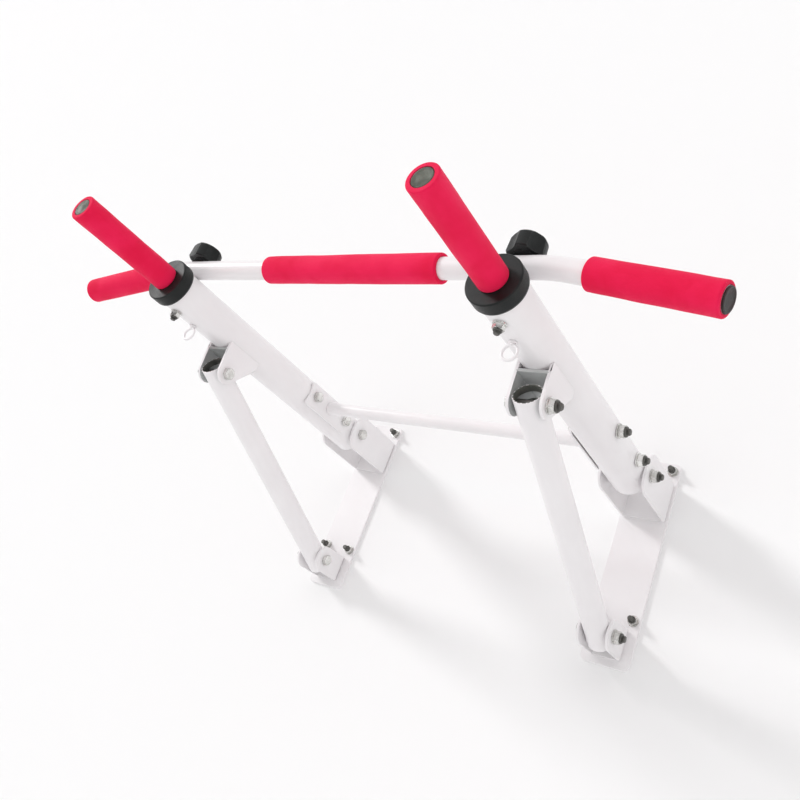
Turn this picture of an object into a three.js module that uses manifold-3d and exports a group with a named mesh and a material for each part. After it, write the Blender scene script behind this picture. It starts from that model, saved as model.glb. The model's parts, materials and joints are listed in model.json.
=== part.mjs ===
// Wall-mounted folding pull-up bar: two wall brackets, two hinged arms with diagonal braces, a bent
// pull-up bar clamped on the arms by hand knobs, and a foam parallel handle out of each arm's front end.
// Millimetres, +Z up. The wall is the plane Y = 0 and the bar stands out from it towards -Y.
// The origin is on the wall, midway between the arms, at the height of the arms' centre lines.
import * as THREE from "three";
import { mergeVertices } from "three/addons/utils/BufferGeometryUtils.js";
import Module from "manifold-3d";

const wasm = await Module();
wasm.setup();

// ---------- driving dimensions ----------
const ARM_X = 275; // half the distance between the two arms' centre lines
const GAP = 0.3; // clearance between pieces that touch

const PLATE = { width: 76, top: 68, bottom: -265, thick: 5, corner: 9 };
const WALL_BOLT = { dx: 27, heights: [54, -191], hole: 4.5, end: -24 };

const PIVOT = { y: -110, z: 0 }; // hinge of the arm in its wall bracket
const FOOT = { y: -56, z: -230 }; // hinge of the brace in its wall bracket
const HEAD = { y: -442, z: -66 }; // bolt of the brace in the bracket under the arm

const ARM = { radius: 30, wall: 2.5, rear: -97, front: -592.7 };
const ARM_SIDES = 36; // facets round the arm and round what fits it
const COLLAR = { radius: 34.5, rear: -579, front: -599, face: 6 };
const HANDLE = { radius: 12.7, wall: 2, rear: -470, front: -757.2 };
const HANDLE_BUSH = { rear: -480, front: -500 };
const HANDLE_FOAM_FRONT = -760;

const BAR = { radius: 14, wall: 2.5, y: -558, z: 44.6, bendStart: 295, bendRadius: 220 };
const BAR_DROP = THREE.MathUtils.degToRad(11.5); // how far the bar's ends bend down
const BAR_END = 508; // how far each end reaches from the middle
const CENTRE_GRIP = [-121, 170]; // the middle grip has slid off centre
const END_GRIP_LENGTH = 150;
const FOAM_RADIUS = 19;

const BRACE = { radius: 19, wall: 2, tail: 20, tip: 15 };
const BRACKET = { thick: 4, back: 4 }; // sheet of the hinge brackets
const ARM_EARS = { inner: 31.5, front: -135, half: 32, round: 25 };
const BRACE_EARS = { inner: 20, reach: 23, half: 23, round: 22.9 };

const HEAD_BRACKET = { front: -462, rear: -394, round: 17, top: -16 };

const TIE = { radius: 11, wall: 1.8, y: -210 };
const TIE_PLATE = { rear: -152, front: -271, half: 21, thick: 3, corner: 7, inner: 45 };
const TIE_BOLTS = [-252, -163];

const STUD = { radius: 4, top: 76, bottom: -44 };
const HINGE_PLAY = 0.6; // how much wider than the bolt the turning tubes' holes are
const PIVOT_SLEEVE = { radius: 8.5, half: 25.5 };
const FOOT_SLEEVE = { radius: 7.5, half: 14.5 };
const KNOB = { radius: 23, lobes: 4, lobeDepth: 2.4, bottom: 58.9, height: 25.5, boss: 1, bossRadius: 13 };
const KNOB_TURN = { left: 31, right: 10 }; // how far each knob is turned, in degrees
const EYE = { y: -521, z: -44.5, ring: 9.8, wire: 1.8, shank: 3, flange: 5, flats: 10 };

const THROUGH = 40; // how far a drill for a cross hole reaches either way, past any tube
const BOLT_REACH = 17; // how far a cross bolt's end stands out past its washer's face
const M10 = { radius: 5, af: 17, head: 6.4, nut: 8, collar: 2.6, washer: 10.5, washerThick: 2 };
const M8 = { radius: 4, af: 13, head: 5.3, nut: 6.5, collar: 2.2, washer: 8.5, washerThick: 1.6 };

// ---------- materials ----------
const FINISH = {
  white: { color: 0xe9e7e8, roughness: 0.35, metalness: 0.1 },
  foam: { color: 0xe8234f, roughness: 0.9, metalness: 0 },
  black: { color: 0x17191a, roughness: 0.5, metalness: 0 },
  zinc: { color: 0xb9bbb8, roughness: 0.3, metalness: 0.9 },
  plug: { color: 0x7d7566, roughness: 0.8, metalness: 0 },
};

const object = new THREE.Group();

function add(name, finish, shape, parent = object) {
  const geometry = shape instanceof THREE.BufferGeometry ? shape : geometryOf(shape);
  const mesh = new THREE.Mesh(geometry, new THREE.MeshStandardMaterial(FINISH[finish]));
  mesh.name = name;
  parent.add(mesh);
  return mesh;
}

// ---------- solids ----------
function bare(geometry) {
  const copy = geometry.clone();
  copy.deleteAttribute("normal");
  copy.deleteAttribute("uv");
  return mergeVertices(copy, 1e-4);
}

function volume(positions, index) {
  const [a, b, c] = [new THREE.Vector3(), new THREE.Vector3(), new THREE.Vector3()];
  let sum = 0;
  for (let i = 0; i < index.length; i += 3) {
    a.fromArray(positions, 3 * index[i]);
    b.fromArray(positions, 3 * index[i + 1]);
    c.fromArray(positions, 3 * index[i + 2]);
    sum += a.dot(b.cross(c)) / 6;
  }
  return sum;
}

// A closed geometry as a solid for joining and cutting, with its faces turned outwards.
function solid(geometry) {
  const merged = bare(geometry);
  const vertProperties = new Float32Array(merged.attributes.position.array);
  const triVerts = new Uint32Array(merged.index.array);
  if (volume(vertProperties, triVerts) < 0) triVerts.reverse();
  return new wasm.Manifold(new wasm.Mesh({ numProp: 3, vertProperties, triVerts }));
}

function geometryOf(manifold) {
  const mesh = manifold.getMesh();
  const geometry = new THREE.BufferGeometry();
  geometry.setAttribute("position", new THREE.BufferAttribute(mesh.vertProperties.slice(), 3));
  geometry.setIndex(new THREE.BufferAttribute(mesh.triVerts.slice(), 1));
  return geometry;
}

// A shape made along +Y from the origin is turned so that it runs along the given axis through "at".
function along(geometry, axis, at) {
  if (axis === "x") geometry.rotateZ(-Math.PI / 2);
  if (axis === "z") geometry.rotateX(Math.PI / 2);
  geometry.translate(...at);
  return geometry;
}

function rod(axis, radius, from, to, at = [0, 0, 0], segments = 24) {
  const geometry = new THREE.CylinderGeometry(radius, radius, to - from, segments);
  geometry.translate(0, (from + to) / 2, 0);
  return solid(along(geometry, axis, at));
}

// A turned piece from its closed profile of [radius, distance along the axis] points.
function turned(axis, profile, at = [0, 0, 0], segments = 24) {
  const closed = [...profile, profile[0]].map(([r, d]) => new THREE.Vector2(r, d));
  return solid(along(new THREE.LatheGeometry(closed, segments), axis, at));
}

function ring(axis, outer, inner, from, to, at = [0, 0, 0], segments = 24) {
  return turned(axis, [[inner, from], [outer, from], [outer, to], [inner, to]], at, segments);
}

function box(low, high) {
  const size = low.map((v, i) => high[i] - v);
  const geometry = new THREE.BoxGeometry(...size);
  geometry.translate(...low.map((v, i) => v + size[i] / 2));
  return solid(geometry);
}

// A flat shape drawn in (Y, Z), made solid from one X to another.
function sheetX(shape, from, to, curveSegments = 4) {
  const geometry = new THREE.ExtrudeGeometry(shape, { depth: to - from, bevelEnabled: false, curveSegments });
  geometry.applyMatrix4(new THREE.Matrix4().set(0, 0, 1, from, 1, 0, 0, 0, 0, 1, 0, 0, 0, 0, 0, 1));
  return solid(geometry);
}

// A flat shape drawn in (X, Z), made solid from one Y to another.
function sheetY(shape, from, to, curveSegments = 3) {
  const geometry = new THREE.ExtrudeGeometry(shape, { depth: to - from, bevelEnabled: false, curveSegments });
  geometry.applyMatrix4(new THREE.Matrix4().set(1, 0, 0, 0, 0, 0, 1, from, 0, 1, 0, 0, 0, 0, 0, 1));
  return solid(geometry);
}

function roundedRectangle(left, bottom, right, top, r) {
  const shape = new THREE.Shape();
  shape.absarc(right - r, top - r, r, 0, Math.PI / 2);
  shape.absarc(left + r, top - r, r, Math.PI / 2, Math.PI);
  shape.absarc(left + r, bottom + r, r, Math.PI, 1.5 * Math.PI);
  shape.absarc(right - r, bottom + r, r, 1.5 * Math.PI, 2 * Math.PI);
  return shape;
}

// The angle of the point where a line from "from" touches a circle; turn is +1 or -1 for the side.
function tangentAngle(from, centre, radius, turn) {
  const away = Math.atan2(from[1] - centre[1], from[0] - centre[0]);
  const distance = Math.hypot(from[0] - centre[0], from[1] - centre[1]);
  return away + turn * Math.acos(radius / distance);
}

// ---------- fasteners ----------
function hexagon(axis, flats, from, to, at) {
  const corner = flats / Math.sqrt(3);
  const geometry = new THREE.CylinderGeometry(corner, corner, to - from, 6);
  geometry.translate(0, (from + to) / 2, 0);
  return solid(along(geometry, axis, at));
}

// The washer and lock nut at the end of a bolt or stud; "way" is the direction it points in.
function nutAndWasher(size, axis, way, face, at) {
  const span = (a, b) => (way > 0 ? [face + a, face + b] : [face - b, face - a]);
  const nutEnd = size.washerThick + size.nut;
  return rod(axis, size.washer, ...span(0, size.washerThick), at, 14)
    .add(hexagon(axis, size.af, ...span(size.washerThick, nutEnd), at))
    .add(rod(axis, size.af / 2 - 1, ...span(nutEnd - 1, nutEnd + size.collar), at, 10));
}

// A hexagon bolt across the arm or brace with its washer and nut on, joined as one tightened piece.
// The head is on the side towards the middle of the bar, the nut on the outside.
function crossBolt(size, side, centre, headFace, nutFace, end) {
  const at = [side * ARM_X, centre.y, centre.z];
  const span = (a, b) => (side > 0 ? [a, b] : [-b, -a]);
  return hexagon("x", size.af, ...span(-headFace - size.head, -headFace), at)
    .add(rod("x", size.radius, ...span(-headFace - 1, end), at, 12))
    .add(nutAndWasher(size, "x", side, side * nutFace, at));
}

const SIDES = [["left", -1], ["right", 1]];

// ---------- wall plates and their studs ----------
function wallPlate(side) {
  const x = side * ARM_X;
  const half = PLATE.width / 2;
  const outline = roundedRectangle(x - half, PLATE.bottom, x + half, PLATE.top, PLATE.corner);
  let plate = sheetY(outline, -PLATE.thick, 0);
  for (const [bx, bz] of wallBoltPlaces(side)) {
    plate = plate.subtract(rod("y", WALL_BOLT.hole, -PLATE.thick - 1, 1, [bx, 0, bz], 12));
  }
  return plate;
}

function wallBoltPlaces(side) {
  return WALL_BOLT.heights.flatMap((z) => [-1, 1].map((s) => [side * ARM_X + s * WALL_BOLT.dx, z]));
}

// A wall stud with its washer and nut.
function wallBolt([x, z]) {
  return rod("y", M8.radius, WALL_BOLT.end, 0, [x, 0, z], 10)
    .add(nutAndWasher(M8, "y", -1, -PLATE.thick - GAP, [x, 0, z]));
}

// ---------- hinge brackets on the wall plates ----------
// A folded sheet bracket: a back against the plate and two ears that hold a bolt across them.
function wallBracket(side, inner, front, half, round, hinge) {
  const back = -PLATE.thick - GAP;
  const outer = inner + BRACKET.thick;
  const x = side * ARM_X;
  const ear = new THREE.Shape();
  ear.moveTo(back, hinge.z - half);
  ear.lineTo(back, hinge.z + half);
  ear.absarc(front + round, hinge.z + half - round, round, Math.PI / 2, Math.PI);
  ear.absarc(front + round, hinge.z - half + round, round, Math.PI, 1.5 * Math.PI);
  const web = box([x - outer, back - BRACKET.back, hinge.z - half], [x + outer, back, hinge.z + half]);
  return sheetX(ear, x - outer, x - inner)
    .add(sheetX(ear, x + inner, x + outer))
    .add(web)
    .subtract(rod("x", M10.radius + GAP, -outer - 1, outer + 1, [x, hinge.y, hinge.z], 16));
}

// ---------- arms ----------
function armTube(side) {
  const x = side * ARM_X;
  let tube = ring("y", ARM.radius, ARM.radius - ARM.wall, ARM.front, ARM.rear, [x, 0, 0], ARM_SIDES)
    .subtract(rod("x", M10.radius + HINGE_PLAY, -THROUGH, THROUGH, [x, PIVOT.y, PIVOT.z], 16))
    .subtract(rod("z", STUD.radius + GAP, -THROUGH, THROUGH, [x, BAR.y, 0], 12))
    .subtract(rod("z", EYE.shank + GAP, -THROUGH, 0, [x, EYE.y, 0], 10));
  for (const y of TIE_BOLTS) {
    tube = tube.subtract(rod("x", M10.radius + GAP, -THROUGH, THROUGH, [x, y, 0], 12));
  }
  return tube;
}

// Plastic cap with a skirt round the tube's front end and a face that centres the handle.
function collar(side) {
  const skirt = ARM.radius + GAP;
  const face = COLLAR.front + COLLAR.face;
  const bore = HANDLE.radius + GAP;
  return turned("y", [
    [bore, COLLAR.front],
    [COLLAR.radius - 2, COLLAR.front],
    [COLLAR.radius, COLLAR.front + 2],
    [COLLAR.radius, COLLAR.rear - 1],
    [COLLAR.radius - 1, COLLAR.rear],
    [skirt, COLLAR.rear],
    [skirt, face],
    [bore, face],
  ], [side * ARM_X, 0, 0], ARM_SIDES);
}

// Plastic bush inside the arm that steadies the handle tube's rear end.
function handleBush(side) {
  const outer = ARM.radius - ARM.wall - GAP;
  return ring("y", outer, HANDLE.radius + GAP, HANDLE_BUSH.front, HANDLE_BUSH.rear, [side * ARM_X, 0, 0], 20);
}

// Steel sleeve inside a tube round its hinge bolt, which keeps the tube from being crushed.
function hingeSleeve({ radius, half }, at) {
  return ring("x", radius, M10.radius + HINGE_PLAY, -half, half, at, 16);
}

function handleTube(side) {
  const x = side * ARM_X;
  return ring("y", HANDLE.radius, HANDLE.radius - HANDLE.wall, HANDLE.front, HANDLE.rear, [x, 0, 0], 20)
    .subtract(rod("z", STUD.radius + GAP, -20, 20, [x, BAR.y, 0], 12));
}

function handleGrip(side) {
  const front = HANDLE_FOAM_FRONT;
  const rear = COLLAR.front - GAP;
  const bore = HANDLE.radius + GAP;
  return turned("y", [
    [bore, front],
    [FOAM_RADIUS - 2, front],
    [FOAM_RADIUS, front + 2],
    [FOAM_RADIUS, rear - 1],
    [FOAM_RADIUS - 1, rear],
    [bore, rear],
  ], [side * ARM_X, 0, 0], 28);
}

// A push-in plug: a flange over the tube's end and a stem inside it. "end" is the tube's end.
function endPlug(axis, radius, wall, end, inwards, at) {
  const stem = radius - wall - GAP;
  const flange = end - inwards * GAP;
  const profile = [
    [0, flange - inwards * 2.4],
    [radius - 0.8, flange - inwards * 2.4],
    [radius, flange - inwards * 1.6],
    [radius, flange],
    [stem, flange],
    [stem - 0.5, end + inwards * 18],
    [0, end + inwards * 18],
  ];
  return turned(axis, profile, at, 16);
}

// ---------- bracket under the arm for the brace ----------
// A channel with its flat web against the tube's underside and two ears. They are welded to the tube's
// sides, which they are coped to, and narrow downwards round the bolt.
function braceHeadBracket(side) {
  const x = side * ARM_X;
  const inner = BRACE_EARS.inner;
  const outer = inner + BRACKET.thick;
  const top = -ARM.radius - GAP;
  const { front, rear, round } = HEAD_BRACKET;
  const centre = [HEAD.y, HEAD.z];
  const fromAngle = tangentAngle([front, top], centre, round, 1);
  const toAngle = tangentAngle([rear, top], centre, round, -1);
  const ear = new THREE.Shape();
  ear.moveTo(rear, HEAD_BRACKET.top);
  ear.lineTo(front, HEAD_BRACKET.top);
  ear.lineTo(front, top);
  ear.absarc(...centre, round, fromAngle, toAngle + 2 * Math.PI);
  ear.lineTo(rear, top);
  return sheetX(ear, x - outer, x - inner)
    .add(sheetX(ear, x + inner, x + outer))
    .add(box([x - outer, front, top - BRACKET.back], [x + outer, rear, top]))
    .subtract(rod("y", ARM.radius + GAP, front - 1, rear + 1, [x, 0, 0], ARM_SIDES))
    .subtract(rod("x", M10.radius + GAP, -outer - 1, outer + 1, [x, HEAD.y, HEAD.z], 16));
}

// ---------- eye bolt under the arm ----------
function eyeBolt(side) {
  const at = [side * ARM_X, EYE.y, 0];
  const wire = new THREE.LatheGeometry(circle(EYE.ring, EYE.wire, 6), 16);
  wire.translate(at[0], at[1], EYE.z);
  return solid(wire)
    .add(rod("z", EYE.shank, EYE.z + EYE.ring, -19.5, at, 12))
    .add(rod("z", EYE.flange, -ARM.radius - GAP - 2.4, -ARM.radius - GAP, at, 16))
    .add(hexagon("z", EYE.flats, -26, -21, at));
}

function circle(centre, radius, points) {
  const at = (i) => (2 * Math.PI * (i % points)) / points;
  return Array.from({ length: points + 1 }, (_, i) =>
    new THREE.Vector2(centre + radius * Math.cos(at(i)), radius * Math.sin(at(i))));
}

// ---------- cross tie ----------
// A plate on the arm's inner side, bolted through the arm, that the tie is welded to. It is rolled to a
// wider round than the arm, so it touches the arm along its middle and stands off at its long edges.
const tieRollX = ARM_X + TIE_PLATE.inner - ARM.radius - GAP; // where the plate's round has its centre line

function tiePlate(side) {
  const x = side * ARM_X;
  const outer = TIE_PLATE.inner + TIE_PLATE.thick;
  const outline = roundedRectangle(TIE_PLATE.front, -TIE_PLATE.half, TIE_PLATE.rear, TIE_PLATE.half,
    TIE_PLATE.corner);
  const innerSide = side > 0 ? [x - ARM.radius - 10, x - 10] : [x + 10, x + ARM.radius + 10];
  const centre = [side * tieRollX, 0, 0];
  let plate = ring("y", outer, TIE_PLATE.inner, TIE_PLATE.front, TIE_PLATE.rear, centre, 2 * ARM_SIDES)
    .intersect(sheetX(outline, ...innerSide, 3));
  for (const y of TIE_BOLTS) {
    plate = plate.subtract(rod("x", M10.radius + GAP, -THROUGH, THROUGH, [x, y, 0], 12));
  }
  return plate;
}

function crossTie() {
  const plateRadius = TIE_PLATE.inner + TIE_PLATE.thick + GAP;
  const reach = tieRollX - plateRadius + 3;
  let tube = ring("x", TIE.radius, TIE.radius - TIE.wall, -reach, reach, [0, TIE.y, 0], 24);
  for (const [, side] of SIDES) {
    const centre = [side * tieRollX, 0, 0];
    tube = tube.subtract(rod("y", plateRadius, TIE.y - 20, TIE.y + 20, centre, 2 * ARM_SIDES));
  }
  return tube;
}

// ---------- pull-up bar and its grips ----------
// A polyline whose corners are stations of the bend, evenly spaced in the curve's own parameter.
class Stations extends THREE.Curve {
  constructor(points) {
    super();
    this.points = points;
  }

  getPoint(t, target = new THREE.Vector3()) {
    const place = t * (this.points.length - 1);
    const i = Math.min(Math.floor(place), this.points.length - 2);
    return target.lerpVectors(this.points[i], this.points[i + 1], place - i);
  }

  getPointAt(u, target) {
    return this.getPoint(u, target);
  }

  getTangentAt(u, target) {
    return this.getTangent(u, target);
  }
}

function barHalf(side) {
  const { bendStart, bendRadius } = BAR;
  const bendSteps = 2;
  const points = [];
  for (let i = 0; i <= bendSteps; i += 1) {
    const a = (BAR_DROP * i) / bendSteps;
    points.push([bendStart + bendRadius * Math.sin(a), BAR.z - bendRadius * (1 - Math.cos(a))]);
  }
  const [bx, bz] = points[bendSteps];
  points.push([BAR_END, bz - (BAR_END - bx) * Math.tan(BAR_DROP)]);
  return points.map(([x, z]) => new THREE.Vector3(side * x, BAR.y, z));
}

function pullUpBar() {
  const path = new Stations([...barHalf(-1).reverse(), ...barHalf(1)]);
  const section = new THREE.Shape().absarc(0, 0, BAR.radius, 0, 2 * Math.PI);
  section.holes.push(new THREE.Path().absarc(0, 0, BAR.radius - BAR.wall, 0, 2 * Math.PI, true));
  const steps = path.points.length - 1;
  let bar = solid(new THREE.ExtrudeGeometry(section, { steps, extrudePath: path, curveSegments: 10 }));
  for (const [, side] of SIDES) {
    bar = bar.subtract(rod("z", STUD.radius + GAP, 20, 70, [side * ARM_X, BAR.y, 0], 12));
  }
  return bar;
}

// A frame at one end of the bar whose +Y runs outwards along the bent end.
function barEnd(side) {
  const frame = new THREE.Group();
  frame.position.copy(barHalf(side).at(-1));
  frame.rotation.set(0, side * BAR_DROP, side * (-Math.PI / 2));
  object.add(frame);
  return frame;
}

function barFoam(axis, from, to, at) {
  const bore = BAR.radius + GAP;
  return turned(axis, [
    [bore, from],
    [FOAM_RADIUS - 2, from],
    [FOAM_RADIUS, from + 2],
    [FOAM_RADIUS, to - 2],
    [FOAM_RADIUS - 2, to],
    [bore, to],
  ], at, 28);
}

// ---------- brace ----------
const braceRun = { y: HEAD.y - FOOT.y, z: HEAD.z - FOOT.z };
const braceLength = Math.hypot(braceRun.y, braceRun.z);

// Made along +Y from the foot hinge, with -Z towards the arm. The holes at its head are notches open
// on that side, so that it drops off its bolt as the arm folds up.
function braceTube() {
  const tip = braceLength + BRACE.tip;
  const hole = M10.radius + HINGE_PLAY;
  const mouth = -BRACE.radius - 1;
  const drift = 5; // the bolt also moves this far towards the tip on its way out
  const slot = new THREE.Shape();
  slot.absarc(braceLength, 0, hole, 0, Math.PI);
  slot.lineTo(braceLength - hole, mouth);
  slot.lineTo(braceLength + hole + drift, mouth);
  return ring("y", BRACE.radius, BRACE.radius - BRACE.wall, -BRACE.tail, tip, [0, 0, 0], 24)
    .subtract(rod("x", hole, -30, 30, [0, 0, 0], 20))
    .subtract(sheetX(slot, -30, 30));
}

// ---------- hand knobs ----------
// Stud up through the arm, the handle tube and the bar, held by a nut under the arm.
function knobStud(side) {
  const at = [side * ARM_X, BAR.y, 0];
  return rod("z", STUD.radius, STUD.bottom, STUD.top, at, 12)
    .add(nutAndWasher(M8, "z", -1, -ARM.radius - GAP, at));
}

// A lobed grip with a bevelled edge over a round boss, bored from below for the stud.
function knobBody() {
  const outline = new THREE.Shape();
  const points = KNOB.lobes * 7;
  const bevel = 2;
  const mean = KNOB.radius - KNOB.lobeDepth - bevel;
  for (let i = 0; i < points; i += 1) {
    const a = (2 * Math.PI * i) / points;
    const r = mean + KNOB.lobeDepth * Math.cos(KNOB.lobes * a);
    if (i === 0) outline.moveTo(r, 0);
    else outline.lineTo(r * Math.cos(a), r * Math.sin(a));
  }
  outline.closePath();
  const grip = new THREE.ExtrudeGeometry(outline, {
    depth: KNOB.height - KNOB.boss - 2 * bevel, bevelThickness: bevel, bevelSize: bevel, bevelSegments: 1,
  });
  grip.translate(0, 0, KNOB.boss + bevel);
  return solid(grip)
    .add(rod("z", KNOB.bossRadius, 0, KNOB.boss + bevel, [0, 0, 0], 24))
    .subtract(rod("z", STUD.radius + GAP, -1, STUD.top - KNOB.bottom + 1, [0, 0, 0], 16));
}

// ---------- assembly ----------
const armEarFace = ARM_EARS.inner + BRACKET.thick + GAP;
const braceEarFace = BRACE_EARS.inner + BRACKET.thick + GAP;
const tubeFace = ARM.radius + GAP;

for (const [name, side] of SIDES) {
  const x = side * ARM_X;
  add(`wall_plate_${name}`, "white", wallPlate(side));
  add(`arm_bracket_${name}`, "white",
    wallBracket(side, ARM_EARS.inner, ARM_EARS.front, ARM_EARS.half, ARM_EARS.round, PIVOT));
  add(`brace_foot_bracket_${name}`, "white",
    wallBracket(side, BRACE_EARS.inner, FOOT.y - BRACE_EARS.reach, BRACE_EARS.half, BRACE_EARS.round, FOOT));
  wallBoltPlaces(side).forEach((place, i) => add(`wall_bolt_${name}_${i + 1}`, "zinc", wallBolt(place)));
  add(`pivot_bolt_${name}`, "zinc",
    crossBolt(M10, side, PIVOT, armEarFace, armEarFace, armEarFace + BOLT_REACH));
  add(`foot_bolt_${name}`, "zinc",
    crossBolt(M10, side, FOOT, braceEarFace, braceEarFace, braceEarFace + BOLT_REACH));

  add(`arm_tube_${name}`, "white", armTube(side));
  add(`pivot_sleeve_${name}`, "zinc", hingeSleeve(PIVOT_SLEEVE, [x, PIVOT.y, PIVOT.z]));
  add(`arm_collar_${name}`, "black", collar(side));
  add(`handle_bush_${name}`, "black", handleBush(side));
  add(`handle_tube_${name}`, "zinc", handleTube(side));
  add(`handle_grip_${name}`, "foam", handleGrip(side));
  add(`handle_plug_${name}`, "plug",
    endPlug("y", HANDLE.radius, HANDLE.wall, HANDLE.front, 1, [x, 0, 0]));
  add(`brace_head_bracket_${name}`, "white", braceHeadBracket(side));
  add(`head_bolt_${name}`, "zinc",
    crossBolt(M10, side, HEAD, braceEarFace, braceEarFace, braceEarFace + BOLT_REACH));
  add(`eye_bolt_${name}`, "white", eyeBolt(side));
  add(`tie_plate_${name}`, "white", tiePlate(side));
  TIE_BOLTS.forEach((y, i) => add(`tie_bolt_${name}_${i + 1}`, "zinc",
    crossBolt(M10, side, { y, z: 0 }, tubeFace + GAP + TIE_PLATE.thick, tubeFace, tubeFace + BOLT_REACH)));
  add(`knob_stud_${name}`, "zinc", knobStud(side));

  const end = barEnd(side);
  add(`end_grip_${name}`, "foam", barFoam("y", -END_GRIP_LENGTH, 0, [0, 0, 0]), end);
  add(`bar_plug_${name}`, "black", endPlug("y", BAR.radius, BAR.wall, 0, -1, [0, 0, 0]), end);

  const brace = new THREE.Group();
  brace.position.set(x, FOOT.y, FOOT.z);
  brace.rotation.x = Math.atan2(braceRun.z, braceRun.y);
  object.add(brace);
  add(`brace_tube_${name}`, "white", braceTube(), brace);
  add(`foot_sleeve_${name}`, "zinc", hingeSleeve(FOOT_SLEEVE, [0, 0, 0]), brace);

  const knob = new THREE.Group();
  knob.position.set(x, BAR.y, KNOB.bottom);
  knob.rotation.z = THREE.MathUtils.degToRad(KNOB_TURN[name]);
  object.add(knob);
  add(`clamp_knob_${name}`, "black", knobBody(), knob);
}

add("cross_tie", "white", crossTie());
add("pull_up_bar", "white", pullUpBar());
add("centre_grip", "foam", barFoam("x", ...CENTRE_GRIP, [0, BAR.y, BAR.z]));

export default object;
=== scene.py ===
import json
import math
from contextlib import contextmanager

import bmesh
import bpy
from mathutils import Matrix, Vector


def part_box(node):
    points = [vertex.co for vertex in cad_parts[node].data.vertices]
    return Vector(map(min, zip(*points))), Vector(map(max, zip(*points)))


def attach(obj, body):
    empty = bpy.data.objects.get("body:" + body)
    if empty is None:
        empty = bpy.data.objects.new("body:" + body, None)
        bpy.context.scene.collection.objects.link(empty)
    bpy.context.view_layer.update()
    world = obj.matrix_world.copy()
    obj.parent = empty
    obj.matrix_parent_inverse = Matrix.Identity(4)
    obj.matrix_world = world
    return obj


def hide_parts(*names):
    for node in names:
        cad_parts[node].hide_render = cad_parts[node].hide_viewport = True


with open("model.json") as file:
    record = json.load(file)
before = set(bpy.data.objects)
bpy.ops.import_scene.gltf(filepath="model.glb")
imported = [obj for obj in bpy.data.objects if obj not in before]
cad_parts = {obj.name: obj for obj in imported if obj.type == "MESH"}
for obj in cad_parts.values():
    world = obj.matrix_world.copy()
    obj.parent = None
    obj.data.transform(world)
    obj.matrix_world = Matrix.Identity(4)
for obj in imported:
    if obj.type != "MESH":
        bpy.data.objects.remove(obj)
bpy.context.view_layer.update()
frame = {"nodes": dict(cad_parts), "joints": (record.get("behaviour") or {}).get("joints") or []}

bpy.context.scene.view_settings.view_transform = "Standard"

# ---------- wall plates ----------
# Each arm hangs on a flat steel plate with rounded corners, laser cut, drilled for four wall bolts and
# powder coated white. Under the coat's gloss there is a faint orange peel, and edges are rubbed greyer.
PLATE_CORNER = 0.009
PLATE_HOLE = 0.0046
MARGIN = 0.01  # how far a cutting tool reaches past what it cuts
SMOOTH = math.radians(38)  # edges blunter than this are shaded as one surface


def only(piece):
    """Makes one piece the selected and active object."""
    bpy.ops.object.select_all(action="DESELECT")
    piece.select_set(True)
    bpy.context.view_layer.objects.active = piece


@contextmanager
def editing(piece):
    """Edit mode on one piece, with all of it selected at first."""
    only(piece)
    bpy.ops.object.mode_set(mode="EDIT")
    bpy.ops.mesh.select_all(action="SELECT")
    yield
    bpy.ops.object.mode_set(mode="OBJECT")


def pick(kind, wanted):
    """Selects, in edit mode, just the VERT, EDGE or FACE parts for which wanted is true."""
    mesh = bpy.context.edit_object.data
    bpy.ops.mesh.select_mode(type=kind)
    bpy.ops.mesh.select_all(action="DESELECT")
    shape = bmesh.from_edit_mesh(mesh)
    for part in {"VERT": shape.verts, "EDGE": shape.edges, "FACE": shape.faces}[kind]:
        part.select_set(wanted(part))
    bmesh.update_edit_mesh(mesh)


def runs_along(edge, axis):
    """Whether an edge is parallel to the axis: 0 for X, 1 for Y, 2 for Z."""
    run = edge.verts[1].co - edge.verts[0].co
    return abs(run[axis]) > 0.99 * run.length


def settled(name):
    """Names the new object and moves its place, turn and size into its mesh."""
    piece = bpy.context.object
    piece.name = piece.data.name = name
    bpy.ops.object.transform_apply(location=True, rotation=True, scale=True)
    return piece


def block(name, low, high):
    """A box between two corners, to be shaped further."""
    low, high = Vector(low), Vector(high)
    bpy.ops.object.select_all(action="DESELECT")
    bpy.ops.mesh.primitive_cube_add(size=1, location=(low + high) / 2, scale=high - low)
    return settled(name)


def turned(name, at, axis, profile, sides=64, closed=True):
    """A round piece about an axis: a ring extruded and resized to each (radius, distance) of the profile.
    A closed profile comes back to its first ring, and the ends of an open one are capped."""
    at, axis = Vector(at), Vector(axis).normalized()
    radius, distance = profile[0]
    bpy.ops.object.select_all(action="DESELECT")
    bpy.ops.mesh.primitive_circle_add(
        vertices=sides, radius=radius, location=at + axis * distance,
        rotation=axis.to_track_quat("Z", "Y").to_euler())
    piece = settled(name)
    with editing(piece):
        for next_radius, next_distance in profile[1:] + profile[:1] * closed:
            step = axis * (next_distance - distance)
            bpy.ops.mesh.extrude_edges_move(TRANSFORM_OT_translate={"value": step})
            share = next_radius / radius
            bpy.ops.transform.resize(value=(share,) * 3, center_override=at + axis * next_distance)
            radius, distance = next_radius, next_distance
        bpy.ops.mesh.select_all(action="SELECT")
        bpy.ops.mesh.remove_doubles(threshold=1e-6)
        bpy.ops.mesh.fill_holes(sides=0)
        bpy.ops.mesh.select_all(action="SELECT")
        bpy.ops.mesh.normals_make_consistent(inside=False)
    return piece


def modify(piece, kind, **settings):
    """Adds a modifier with these settings and applies it."""
    only(piece)
    bpy.ops.object.modifier_add(type=kind)
    modifier = piece.modifiers[-1]
    for setting, value in settings.items():
        setattr(modifier, setting, value)
    bpy.ops.object.modifier_apply(modifier=modifier.name)


def soften(piece, width, segments=3):
    """Rounds every sharp edge of a piece."""
    modify(piece, "BEVEL", width=width, segments=segments, limit_method="ANGLE", angle_limit=SMOOTH)


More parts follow.
